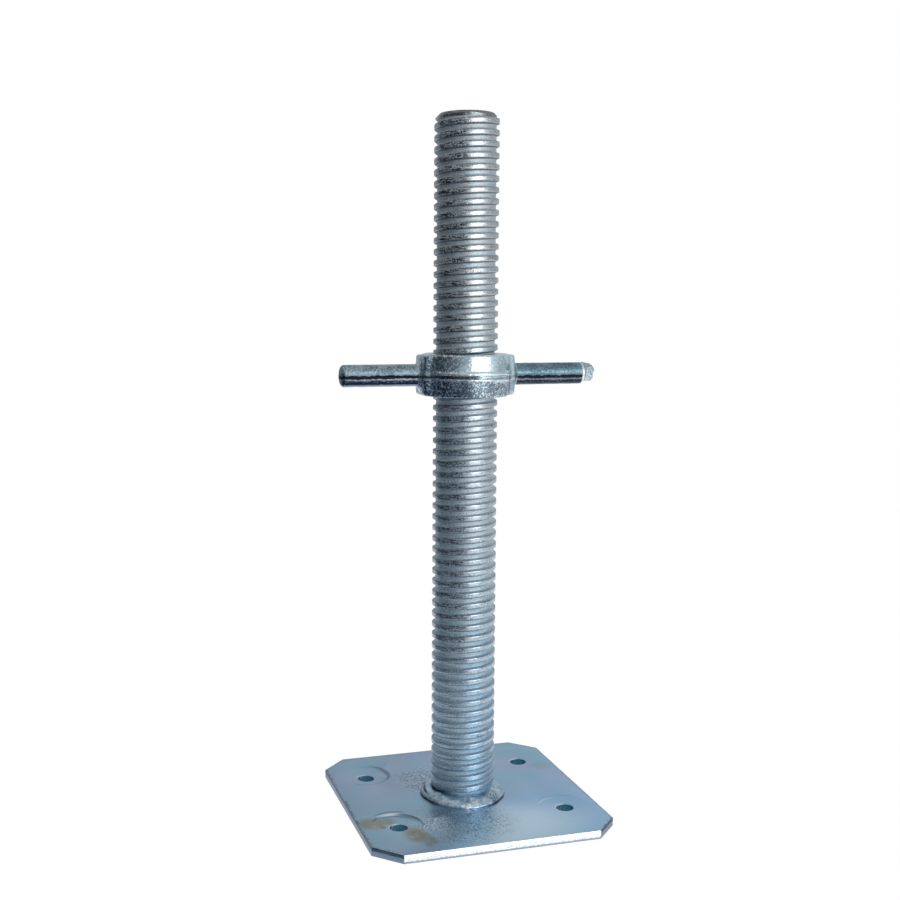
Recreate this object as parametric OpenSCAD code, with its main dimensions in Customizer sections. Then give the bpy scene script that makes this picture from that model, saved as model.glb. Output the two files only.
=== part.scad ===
// Scaffold base jack: a square foot plate, a hollow screw stem with a rolled
// right-hand thread, the ring of weld that joins them, and the cast collar nut
// with two bar handles that a scaffold tube stands on.
// Millimetres, +Z up. The origin is the middle of the plate's underside.

/* [Foot plate] */
// Side of the square foot plate
plate_side = 145; // [130:1:220]
// Thickness of the foot plate
plate_t = 5; // [3:0.5:12]
// Leg of the straight cut across each corner
corner_cut = 14.5; // [4:0.5:20]
// Distance between hole centres along X
hole_span_x = 102; // [84:1:112]
// Distance between hole centres along Y
hole_span_y = 75; // [70:1:100]
// Diameter of the four anchor holes
hole_d = 10; // [6:0.5:14]
// Diameter of the round press mark about each hole
mark_d = 30; // [22:1:32]
// How far each press mark lies off its hole, along Y
mark_shift = 3.8; // [0:0.2:4]
// Depth of a press mark at its deep side, towards the stem
mark_depth = 0.5; // [0.2:0.1:1]
// Distance past the hole's centre at which a press mark fades out
mark_fade = 8.5; // [7.5:0.5:8.5]

/* [Screw stem] */
// Diameter over the thread crests
stem_d = 38; // [34:0.5:44]
// Length of the stem above the plate
stem_len = 405; // [300:5:500]
// Diameter of the hole up the middle of the stem
bore_d = 28; // [16:1:30]
// Rise of the thread in one turn
pitch = 6.5; // [6:0.1:9]
// Height of the thread from root to crest
thread_depth = 1.85; // [1:0.05:2.4]
// Width of the flat crest along the stem
crest_w = 2.6; // [1.6:0.1:3]
// Width of each sloping flank along the stem
flank_w = 0.9; // [0.5:0.1:1.2]
// Angle at which the thread starts round the stem
thread_clock = 163; // [0:1:359]
// Length of the bevel at the top end, along the stem
bevel_len = 3; // [1:0.5:5]
// Depth of the bevel at the top end, across the stem
bevel_in = 3; // [2:0.1:3.5]

/* [Weld] */
// Width of the weld on the plate, measured from the thread crest
weld_w = 6.5; // [3:0.5:9]
// Height of the weld up the stem
weld_h = 6.5; // [3:0.5:9]
// Height of the steep toe round the outside of the weld
weld_toe = 1.2; // [0.5:0.1:2]

/* [Collar nut] */
// Height of the nut's underside above the plate
nut_lift = 242; // [20:1:260]
// Height of the nut
nut_h = 25; // [18:1:40]
// Thickness of the ring outside the thread crests, at the top and bottom
ring_wall = 6.8; // [4:0.1:10]
// How much the ring widens from its faces to its mould line
ring_draft = 0.7; // [0.2:0.1:1.5]
// Radius of the ring's rounded rims
rim_round = 1.6; // [0.6:0.1:2.5]
// Height of the raised mould line round the nut
seam_h = 3.6; // [1:0.1:5]
// How far the mould line stands out
seam_out = 0.6; // [0.2:0.1:1.2]
// Running clearance between the nut's thread and the stem's
thread_gap = 0.35; // [0.25:0.05:0.5]
// Depth of the lead-in at each end of the nut's thread
lead_in = 1.2; // [0.5:0.1:2.5]

/* [Handles] */
// Width of the lug under each handle, at its outer end
lug_w = 20; // [16:0.5:24]
// Angle at which each side of a lug spreads towards the ring
lug_taper = 12; // [0:1:20]
// Radius of a lug's upright outer corners
lug_round = 2.5; // [0.5:0.5:4]
// How far a lug stands out from the ring
lug_out = 2.2; // [1.5:0.1:4]
// Diameter of the handle bars
handle_d = 13.2; // [10:0.2:16]
// Distance from the stem's axis to the end of each bar
handle_reach = 76; // [55:1:120]
// Radius of the fillet where a bar leaves its lug
root_round = 2.5; // [1:0.1:3]
// Length of the rounded end of a bar
end_len = 2.2; // [1:0.1:5]
// Depth of that rounding, across the bar
end_drop = 4; // [1:0.5:4.5]
// Length of the broken-off runner at the end of the right-hand bar
stub_len = 6; // [2:0.5:10]
// Diameter of that runner where it leaves the bar
stub_d = 12.4; // [6:0.2:13]

/* [Hidden] */
$fn = 96;

// What a cut reaches past the face that it opens
past = 1;

// Stem: the thread starts where the weld ends, above a plain foot of root size
crest_r = stem_d / 2;
root_r = crest_r - thread_depth;
stem_top = plate_t + stem_len;
thread_z0 = plate_t + weld_h;
thread_z1 = stem_top - bevel_len;
turns = (thread_z1 - thread_z0) / pitch;
// Flat sides in one turn: fewer on a stem of many turns
most_facets = 10400;
sides = min(20, 2 * floor(most_facets / (16 * turns)));

// Nut
nut_z = plate_t + nut_lift;
nut_mid = nut_h / 2;
ring_r = crest_r + ring_wall;
lug_x = ring_r + lug_out;
handle_r = handle_d / 2;
seam_lip = seam_h / 4;

// ---- thread ----

// Radius of the thread, grown by gap, at height z on the line at angle a
function thread_r(z, a, gap) =
    let (turn = z / pitch - (thread_clock + a) / 360)
    let (off = abs(turn - round(turn)) * pitch)
    let (down = (off - crest_w / 2 - gap) / flank_w)
    crest_r + gap - thread_depth * min(1, max(0, down));

// Heights of the thread's four edges, measured from the middle of its crest
function thread_edges(gap) =
    let (half = crest_w / 2 + gap)
    [-half - flank_w, -half, half, half + flank_w];

// Points up the line at angle a, for turns k0 to k1, held between z0 and z1
function thread_line(a, gap, z0, z1, k0, k1) = [
    for (k = [k0:k1])
        for (edge = thread_edges(gap))
            let (z = min(z1, max(z0, pitch * (k + (thread_clock + a) / 360) + edge)))
            let (r = thread_r(z, a, gap))
            [r * cos(a), r * sin(a), z]
];

function ring_line(r, z, n) = [
    for (j = [0:n - 1])
        [r * cos(360 * j / n), r * sin(360 * j / n), z]
];

// Two triangles on the corners p, q (one line) and s, t (the next line round)
function panel(p, q, s, t) = [[p, q, t], [p, t, s]];

// A threaded rod from z0 to z1. foot and head are [radius, height] of plain
// rings that carry it on below z0 and above z1.
module threaded_rod(gap, z0, z1, foot = [], head = []) {
    n = sides;
    k0 = floor(z0 / pitch) - 3;
    k1 = ceil(z1 / pitch) + 2;
    rows = 4 * (k1 - k0 + 1);
    rings = concat(foot, head);
    lines = [for (j = [0:n - 1]) each thread_line(360 * j / n, gap, z0, z1, k0, k1)];
    plain = [for (g = rings) each ring_line(g[0], g[1], n)];
    body = [
        for (j = [0:n - 2])
            for (i = [0:rows - 2])
                each panel(j * rows + i, j * rows + i + 1, (j + 1) * rows + i, (j + 1) * rows + i + 1)
    ];
    // The last line joins the first one turn, or four edges, further up
    seam = [
        for (i = [0:rows - 6])
            each panel((n - 1) * rows + i, (n - 1) * rows + i + 1, i + 4, i + 5)
    ];
    low = [for (j = [0:n - 1]) j * rows];
    high = [for (j = [0:n - 1]) (j + 1) * rows - 1];
    first = n * rows;
    ring_ids = [for (g = [0:1:len(rings) - 1]) [for (j = [0:n - 1]) first + g * n + j]];
    nf = len(foot);
    downs = concat([low], [for (g = [0:1:nf - 1]) ring_ids[g]]);
    ups = concat([high], [for (g = [nf:1:len(rings) - 1]) ring_ids[g]]);
    skirt = [
        for (g = [0:1:len(downs) - 2])
            for (j = [0:n - 1])
                let (m = (j + 1) % n)
                each panel(downs[g + 1][j], downs[g][j], downs[g + 1][m], downs[g][m])
    ];
    crown = [
        for (g = [0:1:len(ups) - 2])
            for (j = [0:n - 1])
                let (m = (j + 1) % n)
                each panel(ups[g][j], ups[g + 1][j], ups[g][m], ups[g + 1][m])
    ];
    bottom = downs[len(downs) - 1];
    top = ups[len(ups) - 1];
    lid = [for (j = [0:n - 1]) top[n - 1 - j]];
    polyhedron(points = concat(lines, plain), faces = concat(body, seam, skirt, crown, [bottom, lid]));
}

// ---- foot plate ----

module plate_outline() {
    intersection() {
        square(plate_side, center = true);
        rotate(45)
            square(sqrt(2) * (plate_side - corner_cut), center = true);
    }
}

// A shallow round mark with a sloping floor, deep on the side that faces the stem
module press_mark(x, y) {
    lean = asin(mark_depth / (mark_d / 2 + mark_fade));
    translate([x, y + mark_shift, plate_t])
        rotate(atan2(-y, -x))
            intersection() {
                translate([0, 0, -2 * mark_depth])
                    cylinder(d = mark_d, h = 2 * mark_depth + past);
                translate([-mark_fade, -mark_d, 0])
                    rotate([0, lean, 0])
                        cube([2 * mark_d, 2 * mark_d, plate_t]);
            }
}

module base_plate() {
    color([0.62, 0.69, 0.75])
        difference() {
            linear_extrude(plate_t)
                plate_outline();
            for (x = [-1, 1] * hole_span_x / 2)
                for (y = [-1, 1] * hole_span_y / 2) {
                    translate([x, y, -past])
                        cylinder(d = hole_d, h = plate_t + 2 * past);
                    press_mark(x, y);
                }
        }
}

// ---- screw stem ----

module screw_stem() {
    color([0.66, 0.70, 0.72])
        difference() {
            threaded_rod(
                0, thread_z0, thread_z1,
                foot = [[root_r, thread_z0], [root_r, plate_t]],
                head = [[crest_r - bevel_in, stem_top]]
            );
            translate([0, 0, plate_t - past])
                cylinder(d = bore_d, h = stem_len + 2 * past);
        }
}

// ---- weld ----

module foot_weld() {
    reach = weld_w + thread_depth;
    color([0.60, 0.64, 0.66])
        rotate_extrude()
            translate([root_r, plate_t])
                polygon(concat(
                    [[0, 0], [reach, 0]],
                    [for (a = [0:15:90]) [reach * cos(a), weld_toe + (weld_h - weld_toe) * sin(a)]]
                ));
}

// ---- collar nut ----

// Outline of the ring from its axis out, drafted both ways from a raised mould line
module ring_outline() {
    mid_r = ring_r + ring_draft;
    low = [
        for (a = [-90:15:0])
            [ring_r - rim_round + rim_round * cos(a), rim_round + rim_round * sin(a)]
    ];
    line = [
        [mid_r, nut_mid - seam_h / 2],
        [mid_r + seam_out, nut_mid - seam_h / 2 + seam_lip]
    ];
    lower = concat(low, line);
    upper = [for (i = [len(lower) - 1:-1:0]) [lower[i][0], nut_h - lower[i][1]]];
    polygon(concat([[0, 0]], lower, upper, [[0, nut_h]]));
}

// One side of a lug seen from above, up to its rounded outer corner
function lug_side() =
    let (far_x = lug_x + ring_draft)
    let (mid_y = lug_w / 2 - lug_round * (1 - sin(lug_taper)) / cos(lug_taper))
    concat(
        [for (i = [0:5])
            let (a = (90 - lug_taper) * i / 5)
            [far_x - lug_round + lug_round * cos(a), mid_y + lug_round * sin(a)]],
        [[0, lug_w / 2 + far_x * tan(lug_taper)]]
    );

// Lug as high as the nut, drafted like the ring and wider towards it
module lug() {
    side = lug_side();
    intersection() {
        rotate([90, 0, 0])
            linear_extrude(4 * lug_w, center = true)
                polygon([
                    [0, rim_round / 2],
                    [lug_x - rim_round / 2, rim_round / 2],
                    [lug_x, rim_round],
                    [lug_x + ring_draft, nut_mid],
                    [lug_x, nut_h - rim_round],
                    [lug_x - rim_round / 2, nut_h - rim_round / 2],
                    [0, nut_h - rim_round / 2]
                ]);
        linear_extrude(nut_h)
            polygon(concat(side, [for (i = [len(side) - 1:-1:0]) [side[i][0], -side[i][1]]]));
    }
}

// Round bar with a fillet at its root and a rounded end, turned about X
module bar() {
    root_x = lug_x + ring_draft;
    fillet = [
        for (a = [0:15:90])
            [handle_r + root_round * (1 - sin(a)), root_x + root_round * (1 - cos(a))]
    ];
    tip = [
        for (a = [0:15:90])
            [handle_r - end_drop * (1 - cos(a)), handle_reach - end_len + end_len * sin(a)]
    ];
    rotate([90, 0, 90])
        rotate_extrude()
            polygon(concat(
                [[0, crest_r], [handle_r + root_round, crest_r]],
                fillet, tip, [[0, handle_reach]]
            ));
}

// Thin raised mould line along both sides of a bar
module bar_seam() {
    length = handle_reach - end_len - crest_r;
    translate([crest_r, -handle_r - seam_out, -seam_h / 4])
        cube([length, handle_d + 2 * seam_out, seam_h / 2]);
}

module handle() {
    lug();
    translate([0, 0, nut_mid]) {
        bar();
        bar_seam();
    }
}

// Stump of the casting runner on the end of the right-hand bar
module runner_stub() {
    translate([handle_reach - end_len, 0, nut_mid])
        rotate([0, 90, 0])
            cylinder(d1 = stub_d, d2 = stub_d * 0.7, h = stub_len + end_len);
}

module nut_bore() {
    mouth = crest_r + thread_gap;
    inner = mouth - thread_depth;
    slope = thread_depth / lead_in;
    threaded_rod(thread_gap, nut_z - past, nut_z + nut_h + past);
    for (turned = [0, 1])
        translate([0, 0, nut_z + nut_mid])
            mirror([0, 0, turned])
                translate([0, 0, nut_mid - lead_in - past])
                    cylinder(r1 = inner - slope * past, r2 = mouth + slope * past, h = lead_in + 2 * past);
}

module handle_nut() {
    color([0.62, 0.68, 0.74])
        difference() {
            translate([0, 0, nut_z]) {
                rotate_extrude()
                    ring_outline();
                handle();
                mirror([1, 0, 0])
                    handle();
                runner_stub();
            }
            nut_bore();
        }
}

base_plate();
screw_stem();
foot_weld();
handle_nut();
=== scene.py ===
# %% [markdown]
# # Dressing a scaffold base jack
# A base jack levels the foot of a scaffold. It has a square foot plate, a hollow screw stem welded
# upright on it, and a cast collar nut with two handles, which carries the scaffold tube and climbs
# the stem when it is turned. This lesson dresses the imported model of that jack: each step makes one
# piece, or one finish, and says how and why. First the model is loaded. No new piece may grow past it.
# Every length below is in metres.

import math

import bmesh
import bpy
from mathutils import Matrix, Vector, noise


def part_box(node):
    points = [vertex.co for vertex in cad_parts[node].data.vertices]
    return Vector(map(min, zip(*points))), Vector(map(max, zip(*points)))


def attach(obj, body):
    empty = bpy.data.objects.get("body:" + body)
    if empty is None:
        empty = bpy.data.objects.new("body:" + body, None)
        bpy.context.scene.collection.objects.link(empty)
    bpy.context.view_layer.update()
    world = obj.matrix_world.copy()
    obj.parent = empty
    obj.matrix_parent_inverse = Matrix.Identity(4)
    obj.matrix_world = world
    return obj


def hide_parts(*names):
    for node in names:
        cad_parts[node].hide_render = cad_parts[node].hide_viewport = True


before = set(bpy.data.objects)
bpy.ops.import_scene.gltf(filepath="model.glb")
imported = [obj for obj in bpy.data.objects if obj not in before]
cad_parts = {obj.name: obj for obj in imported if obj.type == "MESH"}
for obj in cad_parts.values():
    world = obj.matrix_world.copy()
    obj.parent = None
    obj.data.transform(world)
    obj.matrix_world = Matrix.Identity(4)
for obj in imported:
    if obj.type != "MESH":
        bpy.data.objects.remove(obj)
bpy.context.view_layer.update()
MM = 0.001
print("nodes:", sorted(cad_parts))

# %% [markdown]
# ## Sizes shared by the pieces
# The frame gives each solid's lowest and highest corner, so heights and radii come from there. Only
# what a box can't tell, such as the form of the thread, is written down here as a value.

# %% Sizes from the frame
plate_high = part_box("base_plate")[1]
stem_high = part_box("screw_stem")[1]
weld_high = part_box("foot_weld")[1]
nut_low, nut_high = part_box("handle_nut")
HALF_PLATE = plate_high.x
PLATE_TOP = plate_high.z
CREST_R = stem_high.x
PITCH = 6.5 * MM
THREAD_DEPTH = 1.85 * MM
CREST_WIDTH = 2.6 * MM
FLANK_WIDTH = 0.9 * MM
THREAD_CLOCK = 163
ROOT_R = CREST_R - THREAD_DEPTH
BORE_R = 14 * MM
print("plate side", 2 * HALF_PLATE, "crest radius", CREST_R, "stem top", stem_high.z)

# %% [markdown]
# ## From a bmesh to a piece
# Every piece ends in the same way: normals out, mesh into an object at the origin, smooth shading
# with sharp edges kept; then it is hung under the empty of the body it moves with, and the plain
# solid it stands for is hidden.

# %% Helpers that finish a piece
def loose_object(bm, name):
    bmesh.ops.recalc_face_normals(bm, faces=bm.faces)
    mesh = bpy.data.meshes.new(name)
    bm.to_mesh(mesh)
    bm.free()
    obj = bpy.data.objects.new(name, mesh)
    bpy.context.scene.collection.objects.link(obj)
    return obj


def finish_piece(bm, name, body, node, sharp_angle):
    piece = loose_object(bm, name)
    piece.data.shade_smooth()
    piece.data.set_sharp_from_angle(angle=math.radians(sharp_angle))
    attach(piece, body)
    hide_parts(node)
    print(name, len(piece.data.polygons), "faces")
    return piece


def everything(bm):
    return bm.verts[:] + bm.edges[:] + bm.faces[:]


def chain(bm, points, closed=False):
    """Vertices along the points, with an edge between each two neighbours."""
    verts = [bm.verts.new(p) for p in points]
    pairs = list(zip(verts, verts[1:]))
    if closed:
        pairs.append((verts[-1], verts[0]))
    edges = [bm.edges.new(pair) for pair in pairs]
    return verts, edges


# %% [markdown]
# ## The rolled thread
# The thread is rolled into the tube's wall, so its crests and roots have soft corners. One pitch of
# its outline is spun once about the stem's axis while it climbs, like a screw. That turn is copied
# upwards, doubling each time, and merging the copies gives one skin, because the top of each turn
# meets the bottom of the next. A spin is used and not a stack of rings, because only a helix meets
# the nut's thread and shows the slant of a real screw.

# %% One pitch of the thread, spun up the stem
TURN_STEPS = 60
MERGE = 0.01 * MM
LEVEL_MISS = 1e-6
CORNER_EASE = 0.10 * MM
CREST_STEPS = 2
FLANK_STEPS = 5
ROOT_STEPS = 2


def thread_radius(offset, crest_r):
    """Radius at a height offset from the middle of a crest."""
    start = CREST_WIDTH / 2 - CORNER_EASE
    t = (abs(offset) - start) / (FLANK_WIDTH + 2 * CORNER_EASE)
    t = min(1.0, max(0.0, t))
    return crest_r - THREAD_DEPTH * t * t * (3 - 2 * t)


def spaced(start, end, steps):
    return [start + (end - start) * i / steps for i in range(steps)]


def half_pitch_offsets():
    crest = CREST_WIDTH / 2 - CORNER_EASE
    root = CREST_WIDTH / 2 + FLANK_WIDTH + CORNER_EASE
    steps = spaced(0, crest, CREST_STEPS) + spaced(crest, root, FLANK_STEPS)
    return steps + spaced(root, PITCH / 2, ROOT_STEPS) + [PITCH / 2]


def spin_thread(bm, crest_r, low, high):
    """A threaded wall without ends, cut level at the heights low and high."""
    half = half_pitch_offsets()
    offsets = [-o for o in reversed(half[1:])] + half
    first_turn = math.floor(low / PITCH) - 2
    centre = PITCH * (first_turn + THREAD_CLOCK / 360)
    turns = math.ceil((high - low) / PITCH) + 4
    points = [(thread_radius(o, crest_r), 0, centre + o) for o in offsets]
    verts, edges = chain(bm, points)
    bmesh.ops.spin(
        bm, geom=verts + edges, cent=(0, 0, 0), axis=(0, 0, 1), dvec=(0, 0, PITCH / TURN_STEPS),
        angle=2 * math.pi, steps=TURN_STEPS,
    )
    made = 1
    while made < turns:
        copy = bmesh.ops.duplicate(bm, geom=everything(bm))["geom"]
        lifted = [v for v in copy if isinstance(v, bmesh.types.BMVert)]
        bmesh.ops.translate(bm, verts=lifted, vec=(0, 0, PITCH * made))
        made *= 2
    bmesh.ops.remove_doubles(bm, verts=bm.verts, dist=2 * MERGE)
    for height, side in ((low, -1), (high, 1)):
        bmesh.ops.bisect_plane(
            bm, geom=everything(bm), dist=1e-7,
            plane_co=(0, 0, height), plane_no=(0, 0, side), clear_outer=True,
        )
    print("thread turns:", turns, "vertices:", len(bm.verts))


def end_edges(bm, height):
    """The open edges of a wall that lie at that height."""
    return [e for e in bm.edges if e.is_boundary and all(abs(v.co.z - height) < LEVEL_MISS for v in e.verts)]


def grow(bm, edges, moved):
    """Extrudes open edges and moves each new point; returns the edges that are open now."""
    grown = bmesh.ops.extrude_edge_only(bm, edges=edges)["geom"]
    for v in grown:
        if isinstance(v, bmesh.types.BMVert):
            v.co = moved(v.co)
    return [e for e in grown if isinstance(e, bmesh.types.BMEdge) and e.is_boundary]


def extend(bm, edges, radius, height):
    """Draws a ring of open edges on to a circle of that radius at that height."""
    return grow(bm, edges, lambda co: (co.xy.normalized() * radius).to_3d() + Vector((0, 0, height)))


# %% [markdown]
# ## The stem
# The stem is that threaded wall with a plain foot in the weld, a bevelled top and a bore. The bevel
# is the cone that a lathe would cut: every point near the top that lies outside the cone is drawn in
# to it, so the thread runs out into the bevel as it does on a real one. The rings at the ends are
# extruded edges, and the bore joins them. Faint unevenness is pressed into the crests, always
# inwards, because rolled steel is never quite round.

# %% The screw stem
BEVEL_LENGTH = 3.2 * MM
BEVEL_INSET = 3 * MM
BORE_CHAMFER = 0.5 * MM
FOOT_SINK = 0.2 * MM
FOOT_STEP = 0.6 * MM
CREST_WEAR = 0.07 * MM
WEAR_GRAIN = 260


def make_stem():
    bm = bmesh.new()
    foot = weld_high.z - FOOT_SINK
    spin_thread(bm, CREST_R, foot, stem_high.z)
    for v in bm.verts:
        radius = v.co.xy.length
        wear_and_shade = CREST_WEAR * (0.5 + 0.5 * noise.noise(v.co * WEAR_GRAIN))
        wear = wear_and_shade * max(0, radius - ROOT_R) / THREAD_DEPTH
        cone = CREST_R - BEVEL_INSET * (v.co.z - stem_high.z + BEVEL_LENGTH) / BEVEL_LENGTH
        wanted = min(radius - wear, cone)
        v.co.xy *= wanted / radius
    top = extend(bm, end_edges(bm, stem_high.z), BORE_R + BORE_CHAMFER, stem_high.z)
    top = extend(bm, top, BORE_R, stem_high.z - BORE_CHAMFER)
    extend(bm, top, BORE_R, PLATE_TOP)
    base = extend(bm, end_edges(bm, foot), ROOT_R, foot - FOOT_STEP)
    extend(bm, base, ROOT_R, PLATE_TOP)
    bmesh.ops.remove_doubles(bm, verts=bm.verts, dist=MERGE)
    rims = [e for e in bm.edges if e.is_boundary]
    bmesh.ops.bridge_loops(bm, edges=rims)
    return finish_piece(bm, "stem_rolled", "base", "screw_stem", 70)


stem = make_stem()

# %% [markdown]
# ## The foot plate
# The plate is sheared from flat bar, so its top edges are rolled over and its corners are cut
# straight. It could be a box with holes cut by a boolean, but then every rim would be knife sharp.
# Here each outline is a loop of edges: the sides grow from the outer loop by extruding it, the
# punched holes and press marks grow from circles, and a fill closes the flat field between them.

# %% Plate sizes
CORNER_CUT = 14.5 * MM
HOLE_R = 5 * MM
HOLE_X = 51 * MM
HOLE_Y = 37.5 * MM
MARK_R = 15 * MM
MARK_SHIFT = 3.8 * MM
MARK_FADE = 7 * MM
MARK_WALL = 0.9 * MM
MARKS = ((-1, 1, 10, 0.9 * MM), (-1, -1, 65, 1.2 * MM), (1, -1, 115, 0.5 * MM), (1, 1, 150, 0.3 * MM))
ROLLOVER = 0.7 * MM
HOLE_STEPS = 48
LIP_REACH = 0.9 * MM
LIP_ROUND = 0.3 * MM
LIP_DROP = 0.12 * MM
WALL_DROP = 0.5 * MM
SOLE_EASE = 0.2 * MM
SIDE_LEAN = 0.2 * MM
SIDE_CUTS = 15
EDGE_WAVE = 0.25 * MM
WAVE_GRAIN = 90


# %% Loops that the plate grows from
def octagon(bm, height):
    """The plate's outline: a square whose corners are bevelled, as short edges."""
    square = bmesh.ops.create_grid(bm, x_segments=1, y_segments=1, size=HALF_PLATE)["verts"]
    bmesh.ops.translate(bm, verts=square, vec=(0, 0, height))
    bmesh.ops.bevel(
        bm, geom=square, offset=CORNER_CUT, offset_type="OFFSET", affect="VERTICES", segments=1,
        profile=0.5, material=-1,
    )
    bmesh.ops.delete(bm, geom=bm.faces[:], context="FACES_ONLY")
    long_sides = [e for e in bm.edges if e.calc_length() > 2 * CORNER_CUT]
    bmesh.ops.subdivide_edges(bm, edges=long_sides, cuts=SIDE_CUTS)
    return bm.edges[:]


def inset_copy(bm, edges, inset, height):
    """Extrudes an outline on, drawn in by inset and set at that height."""
    share = 1 - inset / HALF_PLATE
    return grow(bm, edges, lambda co: Vector((co.x * share, co.y * share, height)))


def mark_floor(co, centre, degrees, depth):
    """Height of a press mark's sloping floor, which is deep on one side and fades out on the other."""
    deep_side = Vector((math.cos(math.radians(degrees)), math.sin(math.radians(degrees))))
    reach = (co.xy - centre.xy).dot(deep_side) + MARK_FADE
    return PLATE_TOP - max(0, reach) * depth / (MARK_R + MARK_FADE)


def circle(bm, centre, radius, height):
    """A loop of edges; height is a number or a function of the point."""
    made = bmesh.ops.create_circle(bm, segments=HOLE_STEPS, radius=radius)["verts"]
    for v in made:
        v.co.xy += centre.xy
        v.co.z = height(v.co) if callable(height) else height
    return [e for e in bm.edges if e.verts[0] in made and e.verts[1] in made]


def bridge(bm, loops):
    for one, other in zip(loops, loops[1:]):
        bmesh.ops.bridge_loops(bm, edges=one + other)


# %% A hole with its press mark
def hole_and_mark(bm, centre, degrees, depth):
    """Returns the mark's rim on the top face and the hole's rim on the underside."""
    middle = centre + Vector((0, MARK_SHIFT, 0))

    def floor(co):
        return mark_floor(co, middle, degrees, depth)

    def lip(co):
        return floor(co) - LIP_DROP

    loops = [
        circle(bm, middle, MARK_R, PLATE_TOP),
        circle(bm, middle, MARK_R - MARK_WALL / 3, lambda co: (3 * PLATE_TOP + floor(co)) / 4),
        circle(bm, middle, MARK_R - 2 * MARK_WALL / 3, lambda co: (PLATE_TOP + 3 * floor(co)) / 4),
        circle(bm, middle, MARK_R - MARK_WALL, floor),
        circle(bm, centre, HOLE_R + LIP_REACH, floor),
        circle(bm, centre, HOLE_R + LIP_ROUND, lip),
        circle(bm, centre, HOLE_R, lambda co: floor(co) - WALL_DROP),
        circle(bm, centre, HOLE_R, LIP_ROUND),
        circle(bm, centre, HOLE_R + SOLE_EASE, 0),
    ]
    bridge(bm, loops)
    return loops[0], loops[-1]


# %% The plate
def make_plate():
    bm = bmesh.new()
    under = octagon(bm, 0)
    wall = inset_copy(bm, under, 0, PLATE_TOP - ROLLOVER)
    wall = inset_copy(bm, wall, SIDE_LEAN, PLATE_TOP - 0.3 * ROLLOVER)
    top = inset_copy(bm, wall, 0.8 * ROLLOVER, PLATE_TOP)
    outer = {v for e in bm.edges for v in e.verts}
    rims = []
    soles = []
    for side_x, side_y, degrees, depth in MARKS:
        rim, sole = hole_and_mark(bm, Vector((side_x * HOLE_X, side_y * HOLE_Y, 0)), degrees, depth)
        rims += rim
        soles += sole
    for v in outer:
        v.co.xy *= 1 - EDGE_WAVE / HALF_PLATE * (0.5 + 0.5 * noise.noise(v.co * WAVE_GRAIN))
    bmesh.ops.triangle_fill(bm, use_beauty=True, edges=top + rims, normal=(0, 0, 1))
    bmesh.ops.triangle_fill(bm, use_beauty=True, edges=under + soles, normal=(0, 0, -1))
    return finish_piece(bm, "plate_sheared", "base", "base_plate", 35)


plate = make_plate()

# %% [markdown]
# ## The weld
# A hand-laid fillet weld is a ring of overlapping ripples. Its section is spun about the stem, and
# then its skin is pushed in and out by noise: slow noise for the uneven width of the bead, quicker
# noise for the ripples, and one hollow at the left where the bead didn't reach the stem.

# %% The weld bead
WELD_STEPS = 144
WELD_LUMP = 0.5 * MM
WELD_RIPPLE = 0.22 * MM
WELD_SINK = 1.0 * MM
HOLLOW_AT = Vector((-18.0, 0.0, 10.5)) * MM
HOLLOW_R = 7 * MM
HOLLOW_DEPTH = 1.4 * MM
LUMP_GRAIN = 110
RIPPLE_GRAIN = 420
BULGE = 0.65
TOE_RISE = 0.5 * MM
INSIDE_STEM = 0.4 * MM
IN_PLATE = 0.3 * MM


def make_weld():
    bm = bmesh.new()
    reach = weld_high.x - ROOT_R
    rise = weld_high.z - PLATE_TOP - WELD_SINK
    skin = []
    for degrees in range(0, 91, 9):
        a = math.radians(degrees)
        flat = degrees / 90
        out = BULGE * math.cos(a) + (1 - BULGE) * (1 - flat)
        up = BULGE * math.sin(a) + (1 - BULGE) * flat
        skin.append((ROOT_R + reach * out, 0, PLATE_TOP + TOE_RISE + (rise - TOE_RISE) * up))
    inner_r = ROOT_R - INSIDE_STEM
    hidden = [(inner_r, 0, PLATE_TOP + rise - 0.4 * MM), (inner_r, 0, PLATE_TOP - IN_PLATE)]
    foot = [(weld_high.x - 0.2 * MM, 0, PLATE_TOP - IN_PLATE)]
    verts, edges = chain(bm, skin + hidden + foot, closed=True)
    bmesh.ops.spin(
        bm, geom=verts + edges, cent=(0, 0, 0), axis=(0, 0, 1), dvec=(0, 0, 0),
        angle=2 * math.pi, steps=WELD_STEPS, use_merge=True,
    )
    for v in bm.verts:
        if v.co.z < PLATE_TOP or v.co.xy.length < ROOT_R:
            continue
        outward = Vector((v.co.x, v.co.y, 0)).normalized() + Vector((0, 0, 0.8))
        lump = WELD_LUMP * noise.noise(v.co * LUMP_GRAIN) + WELD_RIPPLE * noise.noise(v.co * RIPPLE_GRAIN)
        hollow = max(0, 1 - (v.co - HOLLOW_AT).length / HOLLOW_R)
        v.co += outward * lump
        v.co.z -= HOLLOW_DEPTH * hollow
        v.co.z = max(v.co.z, PLATE_TOP + 0.1 * MM)
    return finish_piece(bm, "weld_bead", "base", "foot_weld", 80)


weld = make_weld()

# %% [markdown]
# ## The collar nut
# The nut is one casting: a ring, a flat lug at each side, two bars and a raised line where the two
# halves of the mould met. Modelling the blends between them face by face would take long, so the
# simple closed shapes are laid into each other and a voxel remesh fuses them, which also rounds
# every corner a little, as sand casting does. The bore is cut last, by a copy of the stem's thread
# that is a little larger. The noise that breaks the face of the stub is seeded, because without a
# seed it takes one from the clock, and the nut would come out a little different each time.

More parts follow.
